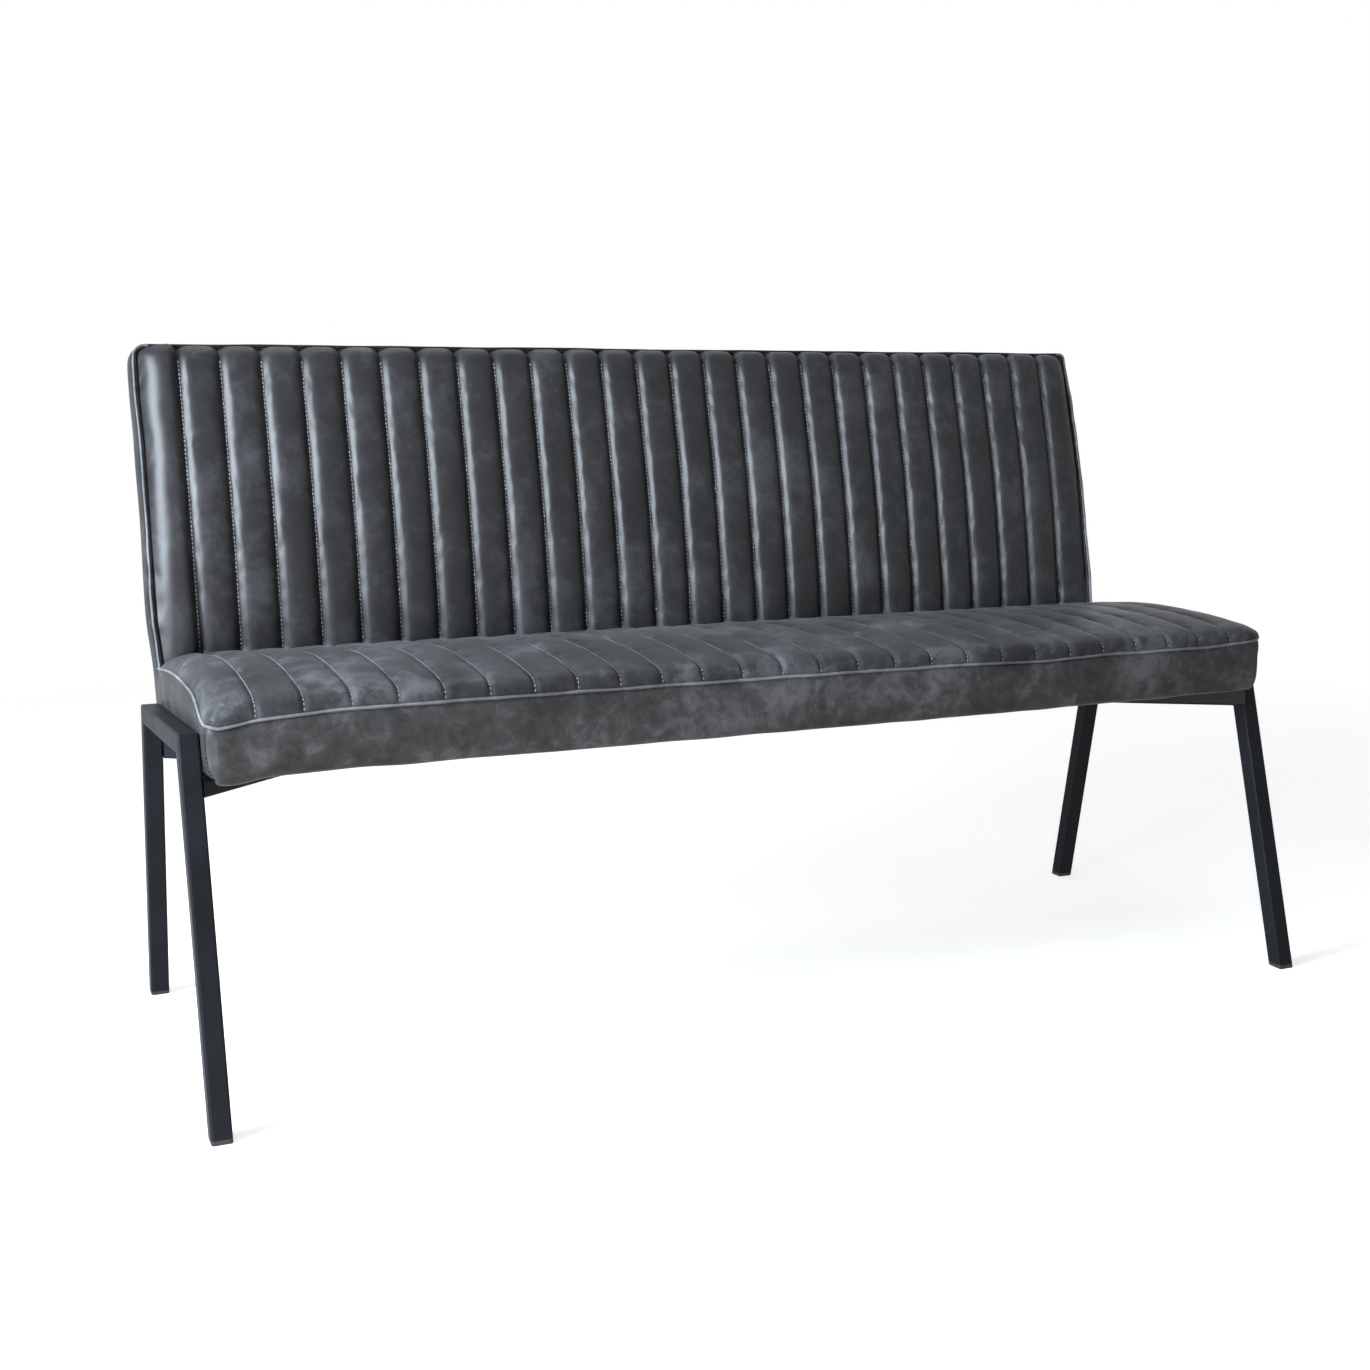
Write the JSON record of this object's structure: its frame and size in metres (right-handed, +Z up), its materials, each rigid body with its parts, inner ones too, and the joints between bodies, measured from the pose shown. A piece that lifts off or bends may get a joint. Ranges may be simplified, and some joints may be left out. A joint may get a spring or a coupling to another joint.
{
  "type": "upholstered dining bench",
  "caption": "Armless upholstered dining bench with a channel-quilted seat and reclined back in dark grey leather on splayed black square-tube legs",
  "frame": {"origin": "on the floor, under the middle of the bench's bounding box", "axes": "+X along the bench, to the right as seen from the front; the front of the seat faces -Y and the back stands at +Y; +Z up"},
  "size_m": [1.5626, 0.6642, 0.9023],
  "materials": {
    "black_steel": "black powder coat, low gloss",
    "black_plastic": "moulded black plastic",
    "zinc_steel": "zinc-plated steel",
    "leather": "anthracite faux leather with a cloudy waxed patina, stitched in light grey",
    "plywood": "plain plywood, inside the upholstery",
    "foam": "upholstery foam, inside the cover",
    "wadding": "polyester wadding, inside the cover",
    "black_felt": "black non-woven dust cover under the seat"
  },
  "bodies": {
    "root": {"left_side_rail": "black_steel", "right_side_rail": "black_steel", "front_left_leg": "black_steel", "front_right_leg": "black_steel", "rear_left_leg": "black_steel", "rear_right_leg": "black_steel", "front_left_foot_cap": "black_plastic", "front_right_foot_cap": "black_plastic", "rear_left_foot_cap": "black_plastic", "rear_right_foot_cap": "black_plastic", "front_cross_tube": "black_steel", "rear_cross_tube": "black_steel", "front_left_brace": "black_steel", "front_right_brace": "black_steel", "rear_left_brace": "black_steel", "rear_right_brace": "black_steel", "front_left_fixing_plate": "black_steel", "front_right_fixing_plate": "black_steel", "rear_left_fixing_plate": "black_steel", "rear_right_fixing_plate": "black_steel", "front_left_fixing_plate_screw_a": "zinc_steel", "front_left_fixing_plate_screw_b": "zinc_steel", "front_right_fixing_plate_screw_a": "zinc_steel", "front_right_fixing_plate_screw_b": "zinc_steel", "rear_left_fixing_plate_screw_a": "zinc_steel", "rear_left_fixing_plate_screw_b": "zinc_steel", "rear_right_fixing_plate_screw_a": "zinc_steel", "rear_right_fixing_plate_screw_b": "zinc_steel", "seat_board": "plywood", "seat_foam": "foam", "dust_cover": "black_felt", "seat_quilted_top": "leather", "seat_front_border": "leather", "seat_welt": "leather", "left_side_panel": "leather", "right_side_panel": "leather", "back_board": "plywood", "back_foam": "foam", "back_rear_wadding": "wadding", "back_quilted_front": "leather", "back_top_border": "leather", "back_rear_cover": "leather", "back_welt": "leather", "back_bracket_1": "zinc_steel", "back_bracket_1_seat_screw": "zinc_steel", "back_bracket_1_back_screw": "zinc_steel", "back_bracket_2": "zinc_steel", "back_bracket_2_seat_screw": "zinc_steel", "back_bracket_2_back_screw": "zinc_steel", "back_bracket_3": "zinc_steel", "back_bracket_3_seat_screw": "zinc_steel", "back_bracket_3_back_screw": "zinc_steel"}
  },
  "joints": []
}
